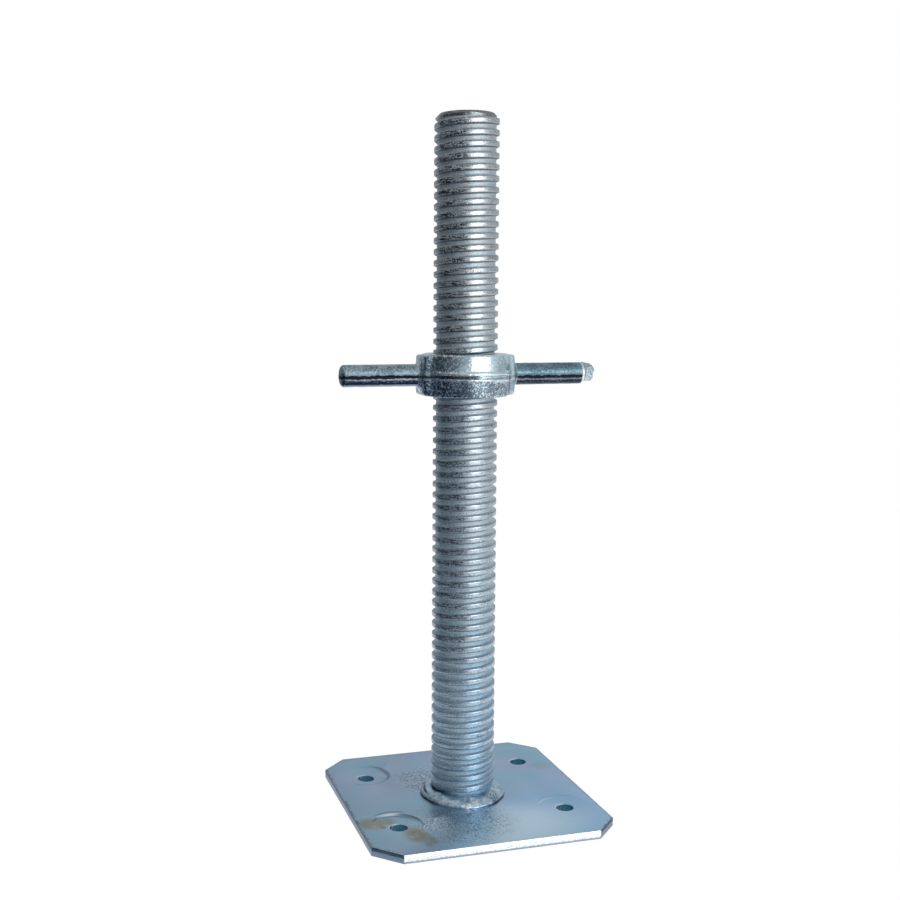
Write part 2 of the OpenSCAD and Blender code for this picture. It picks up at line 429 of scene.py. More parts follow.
# %% Nut sizes
NUT_HEIGHT = nut_high.z - nut_low.z
NUT_MIDDLE = (nut_high.z + nut_low.z) / 2
RING_R = 25.8 * MM
RING_DRAFT = 0.7 * MM
RIM_ROUND = 1.6 * MM
SEAM_OUT = 0.7 * MM
SEAM_OUTLINE = (
    (0, 2.7), (0.8, 2.0), (1, 1.3), (0.7, 0.5), (-0.7, -0.1), (-0.7, -1.0), (0.7, -1.6), (0.8, -2.4),
    (0, -3.2),
)
LINE_AT = -1.2 * MM
LINE_TILT = 0.42 * MM
LUG_WIDTH = 20 * MM
LUG_TAPER = math.tan(math.radians(12))
LUG_ROUND = 2.5 * MM
LUG_X = 28 * MM
LUG_SHORT = 1.2 * MM
LUG_EDGE = 0.8 * MM
BAR_R = 6.6 * MM
BAR_END = -nut_low.x
STUB_END = nut_high.x
ROOT_ROUND = 2.5 * MM
END_LENGTH = 2.2 * MM
END_DROP = 4 * MM
BAR_WEAR = 0.1 * MM
STUB_OUTLINE = ((-0.8, 0.1), (-0.4, -0.05), (0, 0.1), (0.2, 1.0), (1.0, 0.6), (4.2, 0.7), (6.2, 1.4))
STUB_TIP = ((0.8, 2.5), (0.4, 3.6))
STUB_FROM = 0.6 * MM
STUB_GRAIN = 330
STUB_ROUGH = 1.2 * MM
STUB_LIFT = 0.6 * MM
STUB_SEED = 1795418821
GROOVE_AT = 0.1 * MM
GROOVE_HALF = 0.95 * MM
GROOVE_DEPTH = 0.8
FIN_AT = -1.25 * MM
FIN_HALF = 0.45 * MM
FIN_HEIGHT = 0.15
BORE_GAP = 0.35 * MM
VOXEL = 0.4 * MM
RING_STEPS = 96
BAR_STEPS = 120
BAR_CUTS = 45


# %% Closed shapes to fuse
def spun(points, axis, steps):
    """A closed solid: an outline that starts and ends on the axis, spun once about it."""
    bm = bmesh.new()
    verts, edges = chain(bm, points)
    bmesh.ops.spin(
        bm, geom=verts + edges, cent=(0, 0, NUT_MIDDLE), axis=axis, dvec=(0, 0, 0),
        angle=2 * math.pi, steps=steps, use_merge=True,
    )
    bmesh.ops.remove_doubles(bm, verts=bm.verts, dist=MERGE)
    return bm


def make_ring():
    middle_r = RING_R + RING_DRAFT
    half = [(0, NUT_HEIGHT / 2)]
    for degrees in range(90, -1, -15):
        a = math.radians(degrees)
        inwards, down = RIM_ROUND * (1 - math.cos(a)), RIM_ROUND * (1 - math.sin(a))
        half.append((RING_R - inwards, NUT_HEIGHT / 2 - down))
    line = [(middle_r + share * SEAM_OUT, z * MM) for share, z in SEAM_OUTLINE]
    outline = half + line + [(r, -z) for r, z in reversed(half)]
    return spun([(r, 0, NUT_MIDDLE + z) for r, z in outline], (0, 0, 1), RING_STEPS)


def make_lug(side):
    bm = bmesh.new()
    bmesh.ops.create_cube(bm, size=1)
    height = NUT_HEIGHT - LUG_SHORT
    bmesh.ops.transform(bm, matrix=Matrix.Diagonal((LUG_X, LUG_WIDTH, height, 1)), verts=bm.verts)
    bmesh.ops.translate(bm, verts=bm.verts, vec=(side * LUG_X / 2, 0, NUT_MIDDLE))
    outer = [e for e in bm.edges if abs(e.verts[0].co.x) > LUG_X / 2]
    upright = [e for e in outer if abs(e.verts[0].co.z - e.verts[1].co.z) > height / 2]
    bmesh.ops.bevel(
        bm, geom=upright, offset=LUG_ROUND, offset_type="OFFSET", affect="EDGES", segments=4,
        profile=0.5, material=-1,
    )
    for v in bm.verts:
        v.co.y *= 1 + (LUG_X - abs(v.co.x)) * LUG_TAPER / (LUG_WIDTH / 2)
    bmesh.ops.bisect_plane(
        bm, geom=everything(bm), dist=1e-7,
        plane_co=(0, 0, NUT_MIDDLE), plane_no=(0, 0, 1),
    )
    for v in bm.verts:
        if abs(v.co.z - NUT_MIDDLE) < LEVEL_MISS and abs(v.co.x) > LUG_X / 2:
            v.co.x += side * RING_DRAFT
    level = [e for e in bm.edges if abs(e.verts[0].co.z - e.verts[1].co.z) < LEVEL_MISS]
    edges = [e for e in level if len(e.link_faces) == 2]
    bmesh.ops.bevel(
        bm, geom=edges, offset=LUG_EDGE, offset_type="OFFSET", affect="EDGES", segments=2,
        profile=0.5, material=-1,
    )
    return bm


def make_bar(side):
    """A bar about the X axis, with the groove and the ragged fin left where the mould halves met."""
    root = LUG_X + RING_DRAFT
    half = [(0, 0), (0, BAR_R + ROOT_ROUND)]
    for degrees in range(0, 91, 18):
        a = math.radians(degrees)
        out, drop = ROOT_ROUND * (1 - math.cos(a)), ROOT_ROUND * (1 - math.sin(a))
        half.append((root + out, BAR_R + drop))
    half += [(50 * MM, BAR_R - BAR_WEAR / 2)]
    if side > 0:
        end = BAR_END - END_LENGTH
        half += [(end + past * MM, BAR_R - drop * MM) for past, drop in STUB_OUTLINE]
        half += [(STUB_END - short * MM, BAR_R - drop * MM) for short, drop in STUB_TIP]
        half.append((half[-1][0], 0))
    else:
        for degrees in range(0, 91, 15):
            a = math.radians(degrees)
            short, drop = (1 - math.sin(a)) * END_LENGTH, (1 - math.cos(a)) * END_DROP
            half.append((BAR_END - short, BAR_R - BAR_WEAR - drop))
        half.append((BAR_END, 0))
    bm = spun([(side * x, 0, NUT_MIDDLE + r) for x, r in half], (1, 0, 0), BAR_STEPS)
    long_edges = [e for e in bm.edges if abs(e.verts[0].co.x - e.verts[1].co.x) > 15 * MM]
    bmesh.ops.subdivide_edges(bm, edges=long_edges, cuts=BAR_CUTS, use_grid_fill=False)
    for v in bm.verts:
        height = v.co.z - NUT_MIDDLE - LINE_AT + side * LINE_TILT
        along = Vector((v.co.x, side, v.co.y * 0.1))
        groove_noise = 0.8 + 0.7 * noise.noise(along * 260)
        groove = max(0, 1 - abs(height - GROOVE_AT) / GROOVE_HALF) * groove_noise * GROOVE_DEPTH
        fin_noise = 0.4 + 0.9 * noise.noise(along * 420)
        fin = max(0, 1 - abs(height - FIN_AT) / FIN_HALF) * fin_noise * FIN_HEIGHT
        v.co.y *= 1 - (groove - max(0, fin)) * MM / BAR_R
        if v.co.x > BAR_END - END_LENGTH + STUB_FROM:
            v.co += noise.noise_vector(v.co * STUB_GRAIN) * STUB_ROUGH
            v.co.z += STUB_LIFT
            v.co.x = min(v.co.x, STUB_END - 0.1 * MM)
    return bm


# %% Fuse, cut and roughen the nut
def baked(obj):
    """The object's mesh with its modifiers applied; the modifiers are then removed."""
    bpy.context.view_layer.update()
    seen = obj.evaluated_get(bpy.context.evaluated_depsgraph_get())
    mesh = bpy.data.meshes.new_from_object(seen)
    obj.modifiers.clear()
    obj.data = mesh


def make_cutter():
    bm = bmesh.new()
    low, high = nut_low.z - 2 * MM, nut_high.z + 2 * MM
    spin_thread(bm, CREST_R + BORE_GAP, low, high)
    bmesh.ops.holes_fill(bm, edges=[e for e in bm.edges if e.is_boundary], sides=0)
    return loose_object(bm, "bore_cutter")


def make_nut():
    noise.seed_set(STUB_SEED)
    whole = bmesh.new()
    shapes = [make_ring()]
    for side in (-1, 1):
        shapes += [make_lug(side), make_bar(side)]
    for shape in shapes:
        bmesh.ops.recalc_face_normals(shape, faces=shape.faces)
        part = bpy.data.meshes.new("part")
        shape.to_mesh(part)
        whole.from_mesh(part)
        bpy.data.meshes.remove(part)
        shape.free()
    nut = loose_object(whole, "nut_cast")
    fuse = nut.modifiers.new("fuse", "REMESH")
    fuse.mode = "VOXEL"
    fuse.voxel_size = VOXEL
    soften = nut.modifiers.new("soften", "SMOOTH")
    soften.factor = 0.5
    soften.iterations = 2
    baked(nut)
    cutter = make_cutter()
    bore = nut.modifiers.new("bore", "BOOLEAN")
    bore.operation = "DIFFERENCE"
    bore.solver = "EXACT"
    bore.object = cutter
    baked(nut)
    bpy.data.objects.remove(cutter)
    return nut


nut = make_nut()
print("nut:", len(nut.data.polygons), "faces after the bore")


# %% [markdown]
# ## Roughen the casting
# Sand leaves a casting slightly uneven. The skin of the lugs is smoothed first, so that they flow
# into the ring and the bars. Then the whole skin is moved along its own normals by noise, by up to
# about 0.2 mm and always inwards, but not inside the bore, where the thread was cut.

# %% Uneven skin
CAST_DEPTH = 0.16 * MM
LUG_FROM = 21.5 * MM
LUG_PAST = 2.5 * MM
BORE_WALL = 2 * MM
SMOOTH_PASSES = 24


def finish_nut(nut):
    bm = bmesh.new()
    bm.from_mesh(nut.data)
    skin = [v for v in bm.verts if v.co.xy.length > CREST_R + BORE_WALL]
    lug_skin = [v for v in skin if LUG_FROM < abs(v.co.x) < LUG_X + LUG_PAST]
    for _ in range(SMOOTH_PASSES):
        bmesh.ops.smooth_vert(
            bm, verts=lug_skin, factor=0.5, use_axis_x=True, use_axis_y=True, use_axis_z=True,
        )
    bm.normal_update()
    moves = []
    for v in bm.verts:
        away = min(1, max(0, (v.co.xy.length - CREST_R - BORE_WALL) / MM))
        rough = 0.6 + noise.noise(v.co * 170) + 0.5 * noise.noise(v.co * 520)
        moves.append(v.normal * -CAST_DEPTH * away * max(0, rough) * 0.6)
    for v, move in zip(bm.verts, moves):
        v.co += move
    bpy.data.objects.remove(nut)
    return finish_piece(bm, "nut_with_handles", "nut", "handle_nut", 60)


nut = finish_nut(nut)

# %% [markdown]
# ## Building blocks for the finishes
# Zinc plating is thin and shows the steel's own surface, so each finish is made of the same few
# blocks: noise squeezed between two limits, a tint laid over another by a mask, soft masks shaped as
# a ball, a ring's arc, a band or a side, and a bump. They read the object's own coordinates in
# metres, so every grain has a real size. A socket knows its node tree, so only the first block has
# to be told which tree to build in.

# %% Node helpers
def put(tree, kind, inputs=None, **settings):
    """Adds a node; an input given as a socket is linked, and any other value is set."""
    made = tree.nodes.new(kind)
    for key, value in settings.items():
        setattr(made, key, value)
    for key, value in (inputs or {}).items():
        if isinstance(value, bpy.types.NodeSocket):
            tree.links.new(value, made.inputs[key])
        else:
            made.inputs[key].default_value = value
    return made


def tree_of(*values):
    """The node tree of the first socket among the values."""
    return next(v for v in values if isinstance(v, bpy.types.NodeSocket)).id_data


def step(value, low, high):
    """0 below low, 1 above high and smooth between them."""
    inputs = {"Value": value, "From Min": low, "From Max": high}
    made = put(tree_of(value), "ShaderNodeMapRange", inputs, interpolation_type="SMOOTHSTEP")
    return made.outputs["Result"]


def calc(operation, a, b=0.0):
    return put(tree_of(a, b), "ShaderNodeMath", {0: a, 1: b}, operation=operation).outputs[0]


def times(product, *factors):
    for factor in factors:
        product = calc("MULTIPLY", product, factor)
    return product


def shifted(start, mask, change):
    """The start where the mask is 0, changed by that much where it is 1."""
    return calc("ADD", start, calc("MULTIPLY", mask, change))


def vector_calc(operation, *values):
    """A vector, or a value from the operations that give one."""
    made = put(tree_of(*values), "ShaderNodeVectorMath", dict(enumerate(values)), operation=operation)
    return made.outputs["Value" if operation in ("LENGTH", "DOT_PRODUCT") else "Vector"]


def between(share, low, high):
    """Low where the share is 0, high where it is 1."""
    inputs = {"Value": share, "To Min": low, "To Max": high}
    return put(tree_of(share), "ShaderNodeMapRange", inputs).outputs[0]


def split(vector):
    return put(tree_of(vector), "ShaderNodeSeparateXYZ", {0: vector}).outputs


def grain(coords, scale, detail=2.0, rough=0.5):
    inputs = {"Vector": coords, "Scale": scale, "Detail": detail, "Roughness": rough}
    return put(tree_of(coords), "ShaderNodeTexNoise", inputs).outputs["Fac"]


def colour_mix(share, a, b):
    ends = [tint if isinstance(tint, bpy.types.NodeSocket) else (*tint, 1) for tint in (a, b)]
    inputs = {0: share, 6: ends[0], 7: ends[1]}
    return put(tree_of(share), "ShaderNodeMix", inputs, data_type="RGBA").outputs[2]


def paint(under, mask, weight, tint):
    """The tint laid over a colour where the mask is 1, as strongly as the weight says."""
    return colour_mix(calc("MULTIPLY", mask, weight), under, tint)


def stretched(coords, scale):
    return put(tree_of(coords), "ShaderNodeMapping", {"Vector": coords, "Scale": scale}).outputs[0]


def near(coords, centre, scale, inner, outer):
    """1 close to a centre and 0 away from it, in distances that scale can stretch."""
    scaled = vector_calc("MULTIPLY", vector_calc("SUBTRACT", coords, centre), scale)
    return step(vector_calc("LENGTH", scaled), outer, inner)


def near_value(value, middle, reach):
    """1 at that value, 0 from reach away on."""
    return step(calc("ABSOLUTE", calc("SUBTRACT", value, middle)), reach, 0.3 * reach)


def from_axis(coords, centre=(0, 0, 0)):
    """The level vector from an upright axis to the point, and its length."""
    flat = vector_calc("MULTIPLY", vector_calc("SUBTRACT", coords, centre), (1, 1, 0))
    return flat, vector_calc("LENGTH", flat)


def facing_side(flat, radius, degrees, inner, outer):
    """1 on the side that looks that way, up to inner degrees off, and 0 from outer degrees on."""
    a = math.radians(degrees)
    toward = vector_calc("DOT_PRODUCT", flat, (math.cos(a), math.sin(a), 0))
    turned = calc("DIVIDE", toward, radius)
    return step(turned, math.cos(math.radians(outer)), math.cos(math.radians(inner)))


def on_arc(coords, centre, radius, width, degrees, spread):
    """1 along an arc about an upright axis, from its middle direction to spread degrees each way."""
    flat, length = from_axis(coords, centre)
    aimed = facing_side(flat, length, degrees, 0.5 * spread, spread)
    return times(near_value(length, radius, width), aimed)


def outside_plate(coords, side_from, side_to, corner_from, corner_to):
    """1 at the plate's outline and past it; the four values say how far in from it the fade lies."""
    place = split(coords)
    x, y = (calc("ABSOLUTE", place[axis]) for axis in "XY")
    corner = 2 * HALF_PLATE - CORNER_CUT
    by_side = step(calc("MAXIMUM", x, y), HALF_PLATE - side_from, HALF_PLATE - side_to)
    by_corner = step(calc("ADD", x, y), corner - corner_from, corner - corner_to)
    return calc("MAXIMUM", by_side, by_corner)


def bumped(height, distance, under=None):
    inputs = {"Height": height, "Distance": distance, "Strength": 1.0}
    if under is not None:
        inputs["Normal"] = under
    return put(tree_of(height), "ShaderNodeBump", inputs).outputs[0]


def new_finish(name):
    finish = bpy.data.materials.new(name)
    finish.use_nodes = True
    tree = finish.node_tree
    shader = tree.nodes["Principled BSDF"]
    shader.inputs["Metallic"].default_value = 1.0
    coords = tree.nodes.new("ShaderNodeTexCoord").outputs["Object"]
    return finish, tree, shader, coords


def connect(tree, shader, **sockets):
    names = {"colour": "Base Color", "roughness": "Roughness", "normal": "Normal"}
    for key, socket in sockets.items():
        tree.links.new(socket, shader.inputs[names[key]])


# %% [markdown]
# ## The stem's finish
# The rolls press the roots smooth, and there the zinc is even and dull. The crests are what is left
# of the tube's skin: they are rougher and carry dark streaks drawn out along the thread, in random
# patches, and over one whole side as painted shade. To paint by the thread, the finish works out
# where each point lies on it: its height, less the climb of the helix at its direction, gives the
# distance from the middle of the nearest crest. Thin dark lines follow the two edges of the crest,
# but not inside the bore; the lower one is painted shade under the crest. The flank above the crest
# is painted light. Low down the colour turns bluer, a painted reflection of the blue plate, and below
# the nut the roots are painted lighter at one side, a painted reflection. The bevel is dark and has
# one nick.

# %% The place on the thread
def thread_place(place):
    """Distance from the middle of the nearest crest, along the stem: 0 on it, half a pitch away from it."""
    turn = calc("DIVIDE", calc("ARCTAN2", place["Y"], place["X"]), 2 * math.pi)
    turns = calc("SUBTRACT", calc("DIVIDE", place["Z"], PITCH), turn)
    beyond = calc("FRACT", calc("ADD", turns, 0.5 - THREAD_CLOCK / 360))
    return times(calc("SUBTRACT", beyond, 0.5), PITCH)


# %% Zinc on the rolled thread
SHADED_SIDE = -138
BEVEL_NICK = ((0.0160, -0.0090, 0.4080), (1, 1, 1), 1.2 * MM, 2.8 * MM)
CREST_BAND = (18.2 * MM, 18.75 * MM)
BORE_FADE = (BORE_R + 1.5 * MM, BORE_R + 2.2 * MM)
LOW_DOWN = (0.26, 0.02)
FOOT_ZONE = (0.11, 0.07)
BELOW_NUT = (0.31, 0.24)


def stem_finish():
    finish, tree, shader, coords = new_finish("zinc_rolled")
    place = split(coords)
    height = place["Z"]
    flat, radius = from_axis(coords)
    offset = thread_place(place)
    bevel_start = stem_high.z - BEVEL_LENGTH
    bevel = step(height, bevel_start - 0.4 * MM, bevel_start + 0.4 * MM)
    crest = calc("MAXIMUM", step(radius, *CREST_BAND), bevel)
    outside = step(radius, *BORE_FADE)
    under_line = near_value(offset, -1.75 * MM, 0.55 * MM)
    upper_line = near_value(offset, 1.35 * MM, 0.30 * MM)
    low_down = step(height, *LOW_DOWN)
    foot_zone = step(height, *FOOT_ZONE)

    speckle = grain(stretched(coords, (1, 1, 1.6)), 1100, 3.0, 0.7)
    streak = grain(stretched(coords, (1, 1, 11)), 150, 3.0, 0.65)
    patch = grain(stretched(coords, (1, 1, 1.6)), 95, 2.0)
    # Painted shade: dark streaks over the whole side that looks this way, on top of the random patches of
    # streaks.
    side = facing_side(flat, radius, SHADED_SIDE, 16, 42)
    side = times(side, shifted(1.0, foot_zone, -0.8))
    below_nut = step(height, *BELOW_NUT)
    side = times(side, shifted(1.0, below_nut, -0.2))
    other_side = times(step(patch, 0.56, 0.7), 0.45)
    wear_and_shade = calc("MAXIMUM", side, other_side)
    drawn = shifted(streak, calc("SUBTRACT", speckle, 0.5), 0.9)
    streaks = times(wear_and_shade, step(drawn, 0.54, 0.46))
    sheen = step(speckle, 0.50, 0.64)
    dimple = step(speckle, 0.50, 0.36)

    # Low down the roots and crests turn bluer: a painted reflection of the blue plate.
    root = colour_mix(low_down, (0.54, 0.59, 0.61), (0.33, 0.50, 0.64))
    clean = times(step(patch, 0.35, 0.75), shifted(1.0, low_down, -0.7))
    root = colour_mix(clean, root, (0.58, 0.67, 0.72))
    # Painted reflection: below the nut the roots are lighter on this side.
    left = times(facing_side(flat, radius, SHADED_SIDE - 8, 20, 55), below_nut)
    root = paint(root, left, 0.5, (0.74, 0.88, 0.95))
    mid_height = times(below_nut, calc("SUBTRACT", 1.0, foot_zone))
    top = colour_mix(low_down, (0.54, 0.59, 0.61), (0.40, 0.54, 0.66))
    top = paint(top, mid_height, 0.6, (0.42, 0.51, 0.58))
    colour = colour_mix(crest, root, top)
    # Painted light on the upper flank of each crest.
    upper_flank = near_value(offset, 1.95 * MM, 0.65 * MM)
    flank_highlight = times(upper_flank, shifted(0.7, low_down, -0.5))
    flank_highlight = times(flank_highlight, outside)
    colour = colour_mix(flank_highlight, colour, (0.80, 0.92, 1.0))
    bright = times(sheen, shifted(0.2, crest, 0.35))
    bright = times(bright, shifted(1.0, low_down, -0.45))
    colour = colour_mix(bright, colour, (0.88, 0.96, 1.0))
    colour = paint(colour, dimple, 0.45, (0.11, 0.15, 0.19))
    inked = times(streaks, shifted(0.2, crest, 0.75))
    colour = colour_mix(inked, colour, (0.015, 0.02, 0.03))
    cut = times(bevel, shifted(0.6, dimple, 0.3))
    colour = colour_mix(cut, colour, (0.10, 0.12, 0.13))
    # The lower line is painted shade under each crest; the upper one is a thin dark line at the crest's top
    # edge.
    edge = calc("MAXIMUM", times(under_line, 0.62), times(upper_line, 0.22))
    edge = times(edge, shifted(1.0, foot_zone, -0.5))
    edge = times(edge, calc("SUBTRACT", outside, bevel))
    colour = colour_mix(calc("MAXIMUM", edge, 0.0), colour, (0.05, 0.065, 0.08))
    nick = near(coords, *BEVEL_NICK)
    colour = paint(colour, nick, 0.95, (0.02, 0.025, 0.03))

    rough = between(crest, 0.54, 0.31)
    rough = shifted(rough, speckle, 0.08)
    relief = times(streak, times(wear_and_shade, crest))
    normal = bumped(relief, 0.30 * MM)
    normal = bumped(speckle, 0.09 * MM, under=normal)
    connect(tree, shader, colour=colour, roughness=rough, normal=normal)
    return finish


stem.data.materials.append(stem_finish())


# %% [markdown]
# ## The nut's finish
# The casting's skin is coarse, and the plating on it is bright. A random mottle of light and
# near-black navy is painted in for its broken reflections: slow noise makes the patches and quick
# noise breaks their edges up. The ring's upper half and the side that faces the lamp are painted
# light, and its left side is painted dark, as shade, most on its lower half. The groove of the mould
# line is painted nearly black, as shade, and the ring's lip above and below it and the bars' fin
# carry painted highlights. The bars are smoother, with a band of painted shade over their line and a
# lower half painted darker, as shade, and the right one ends in a pale stub with a painted highlight
# on its rim and painted shade beside it. Faces of the ring and the lugs that look down are painted
# darker, as shade.

# %% Zinc on the casting
LIGHT_SIDE = (-57, 20, 50)
DARK_SIDE = (-152, 18, 42)
LUG_FADE = (22 * MM, 27 * MM)
BAR_FADE = (LUG_X + 1.5 * MM, LUG_X + 3.0 * MM)
NAVY = (0.012, 0.02, 0.04)


def nut_finish():
    finish, tree, shader, coords = new_finish("zinc_cast")
    upward = split(tree.nodes["Texture Coordinate"].outputs["Normal"])["Z"]
    place = split(coords)
    flat, radius = from_axis(coords)
    aside = calc("ABSOLUTE", place["X"])
    height = calc("SUBTRACT", place["Z"], NUT_MIDDLE)
    coarse = grain(coords, 300, 2.0, 0.5)
    quick = grain(coords, 850, 3.0, 0.6)
    slow = grain(coords, 95, 1.0)
    bar = step(aside, *BAR_FADE)
    no_bar = calc("SUBTRACT", 1.0, bar)
    lug = calc("SUBTRACT", step(aside, *LUG_FADE), bar)

    # A random mottle of light and navy, painted in for broken reflections.
    mottle = calc("ADD", times(quick, 0.68), times(slow, 0.42))
    dark = step(mottle, 0.56, 0.48)
    # Painted light: the ring's upper half is lighter.
    upper = times(no_bar, step(height, -0.5 * MM, 1.0 * MM))
    lower = step(height, -2.4 * MM, -3.4 * MM)
    tint = colour_mix(step(slow, 0.35, 0.65), (0.29, 0.39, 0.46), (0.40, 0.50, 0.57))
    tint = paint(tint, upper, 0.85, (0.76, 0.94, 1.0))
    # Painted light on the side that faces the lamp, weaker on the lower half.
    light_side = times(facing_side(flat, radius, *LIGHT_SIDE), no_bar)
    light_side = times(light_side, shifted(1.0, lower, -0.9))
    tint = paint(tint, light_side, 0.8, (0.74, 0.93, 1.0))
    tint = paint(tint, step(quick, 0.52, 0.62), 0.6, (0.86, 0.95, 0.98))
    dark = times(dark, shifted(0.5, upper, -0.25))
    tint = colour_mix(dark, tint, (0.02, 0.035, 0.07))
    tint = paint(tint, lug, 0.6, (0.56, 0.75, 0.84))
    # Painted shade on the ring's left side, mottled, more on its lower half.
    dark_side = times(facing_side(flat, radius, *DARK_SIDE), no_bar)
    shade_mottle = times(step(quick, 0.57, 0.49), shifted(0.65, lower, 0.25))
    tint = colour_mix(times(dark_side, shade_mottle), tint, (0.03, 0.05, 0.09))

    side = calc("SIGN", place["X"])
    ragged = times(calc("SUBTRACT", grain(coords, 340, 3.0, 0.6), 0.5), 1.8 * MM)
    level = calc("SUBTRACT", height, LINE_AT)
    from_line = shifted(level, side, LINE_TILT)
    jagged = calc("ADD", from_line, ragged)
    smooth_bar = times(bar, step(from_line, 0.8 * MM, 1.4 * MM))
    right = step(side, -0.5, 0.5)
    bar_tint = colour_mix(right, (0.44, 0.57, 0.65), (0.19, 0.33, 0.41))
    tint = paint(tint, smooth_bar, 0.85, bar_tint)
    blotch = times(smooth_bar, step(mottle, 0.55, 0.45))
    tint = paint(tint, blotch, 0.65, (0.07, 0.14, 0.19))
    # Painted shade: a dark band over each bar's line.
    shade_above_line = times(smooth_bar, step(from_line, 3.2 * MM, 1.5 * MM))
    tint = paint(tint, shade_above_line, 0.72, (0.07, 0.11, 0.14))
    # Painted shade: the bars' lower half is darker, in bands, darkest under the right bar.
    shade_below_line = times(bar, step(jagged, -0.9 * MM, -1.2 * MM))
    below_tint = colour_mix(right, (0.17, 0.23, 0.31), (0.10, 0.14, 0.19))
    tint = paint(tint, shade_below_line, 0.8, below_tint)
    belly_shade = times(step(jagged, -1.7 * MM, -2.1 * MM), step(from_line, -4.7 * MM, -3.9 * MM))
    belly_shade = times(belly_shade, bar, step(quick, 0.72, 0.55))
    tint = paint(tint, belly_shade, 0.95, NAVY)
    under = times(bar, step(from_line, -3.9 * MM, -4.7 * MM))
    under_tint = colour_mix(right, (0.20, 0.27, 0.40), (0.04, 0.06, 0.085))
    tint = paint(tint, under, 0.9, under_tint)
    # Painted shade on faces that look down.
    underside_shade = times(step(upward, -0.25, -0.8), no_bar)
    colour = paint(tint, underside_shade, 0.35, (0.16, 0.19, 0.27))

    # Painted shade in the groove of the mould line, weaker on the lit side.
    bar_groove_shade = times(step(jagged, -1.2 * MM, -0.8 * MM), step(jagged, 1.3 * MM, 0.8 * MM))
    bar_groove_shade = times(bar_groove_shade, bar)
    seam = shifted(height, ragged, 0.6)
    ring_groove_shade = times(near_value(seam, -0.6 * MM, 1.0 * MM), no_bar)
    faded = shifted(0.85, light_side, -0.75)
    groove = calc("MAXIMUM", bar_groove_shade, times(ring_groove_shade, faded))
    colour = paint(colour, groove, 0.96, (0.008, 0.01, 0.016))
    # Painted highlights on the ring's lip above and below the groove, and on the bars' fin.
    lip = calc("MAXIMUM", near_value(seam, 1.5 * MM, 0.9 * MM), near_value(seam, -2.2 * MM, 0.7 * MM))
    lip = times(lip, no_bar, 0.45)
    fin = times(near_value(jagged, -1.25 * MM, 0.4 * MM), bar, 0.05)
    colour = colour_mix(calc("MAXIMUM", lip, fin), colour, (0.9, 0.97, 1.0))

    end = BAR_END - END_LENGTH
    stub = step(place["X"], end + 0.1 * MM, end + 0.5 * MM)
    stub_tint = colour_mix(step(quick, 0.40, 0.60), (0.38, 0.50, 0.57), (0.72, 0.87, 0.93))
    colour = paint(colour, stub, 0.85, stub_tint)
    # Painted highlight on the rim at the bar's end, and painted shade just past it.
    end_highlight = near_value(place["X"], end - 0.5 * MM, 1.1 * MM)
    colour = paint(colour, end_highlight, 0.85, (0.95, 1.0, 1.0))
    shade = near_value(place["X"], end + 0.5 * MM, 0.5 * MM)
    colour = paint(colour, shade, 0.5, (0.1, 0.14, 0.17))
    rough = between(coarse, 0.16, 0.30)
    rough = shifted(rough, groove, 0.4)
    rough = shifted(rough, smooth_bar, 0.26)
    normal = bumped(coarse, 0.08 * MM)
    normal = bumped(quick, 0.11 * MM, under=normal)
    connect(tree, shader, colour=colour, roughness=rough, normal=normal)
    return finish


nut.data.materials.append(nut_finish())


# %% [markdown]
# ## The plate's finish
# Blue-bright zinc on smooth rolled plate: a pale steel blue with faint violet and green clouds.
# Beside the weld and towards the front the heat left a dark, sandy grain with bright sparks in it.
# Two brown tide marks of rust water lie by the front hole, with one orange spot, and one faint
# yellow mark by the far hole. The press marks show by short arcs of painted shade and painted
# highlight, and the holes' walls are a dark teal of painted shade, with painted highlights as light
# spots and a light rim. The sheared sides are dark slate, with a broken dark line along the top edge
# except in front, and the front side is painted bright, a painted highlight, above its torn lower band.

# %% Zinc on the plate
STAINS = (
    ((-0.0640, -0.0290), (0.8, 1.0, 0), 10.5 * MM, 0.85), ((-0.0560, -0.0270), (1.0, 1.0, 0), 8 * MM, 0.8),
    ((-0.0440, -0.0490), (1.1, 0.7, 0), 10.5 * MM, 0.85), ((-0.0395, -0.0590), (1.2, 0.8, 0), 8 * MM, 0.6),
    ((0.0620, 0.0270), (0.7, 1.2, 0), 9 * MM, 0.25),
)
RUST = (
    ((-0.0597, -0.0356), 2.6 * MM, 0.75), ((-0.0445, -0.0459), 1.8 * MM, 0.5),
    ((-0.0415, -0.0490), 1.5 * MM, 0.4),
)
LEFT_PART = (0.005, -0.045)
RIGHT_PART = ((0.060, -0.045, PLATE_TOP), (1, 1, 0), 0.020, 0.070)
FRONT_PART = ((0.004, -0.054, PLATE_TOP), (0.6, 1.0, 0), 0.012, 0.042)
WELD_GRIT = ((-0.018, 0.024, PLATE_TOP), (1.1, 0.8, 0), 0.008, 0.024)
FRONT_GRIT = ((-0.015, -0.042, PLATE_TOP), (0.85, 0.95, 0), 0.014, 0.034)
SHADE_TINT = (0.05, 0.09, 0.13)
GLINT = (0.95, 1.0, 1.0)
PRESSED = (
    ((-0.0505, 0.0415), 15.2 * MM, 1.3 * MM, 12, 62, 0.5, SHADE_TINT),
    ((-0.0505, 0.0415), 15.2 * MM, 0.8 * MM, -75, 60, 0.35, SHADE_TINT),
    ((-0.0510, -0.0340), 17.6 * MM, 1.6 * MM, 90, 36, 0.45, SHADE_TINT),
    ((-0.0510, -0.0340), 15.6 * MM, 1.2 * MM, 96, 34, 0.55, GLINT),
    ((-0.0510, -0.0340), 15.0 * MM, 0.7 * MM, 25, 62, 0.4, SHADE_TINT),
    ((0.0500, -0.0360), 14.2 * MM, 0.8 * MM, 115, 34, 0.4, GLINT),
)


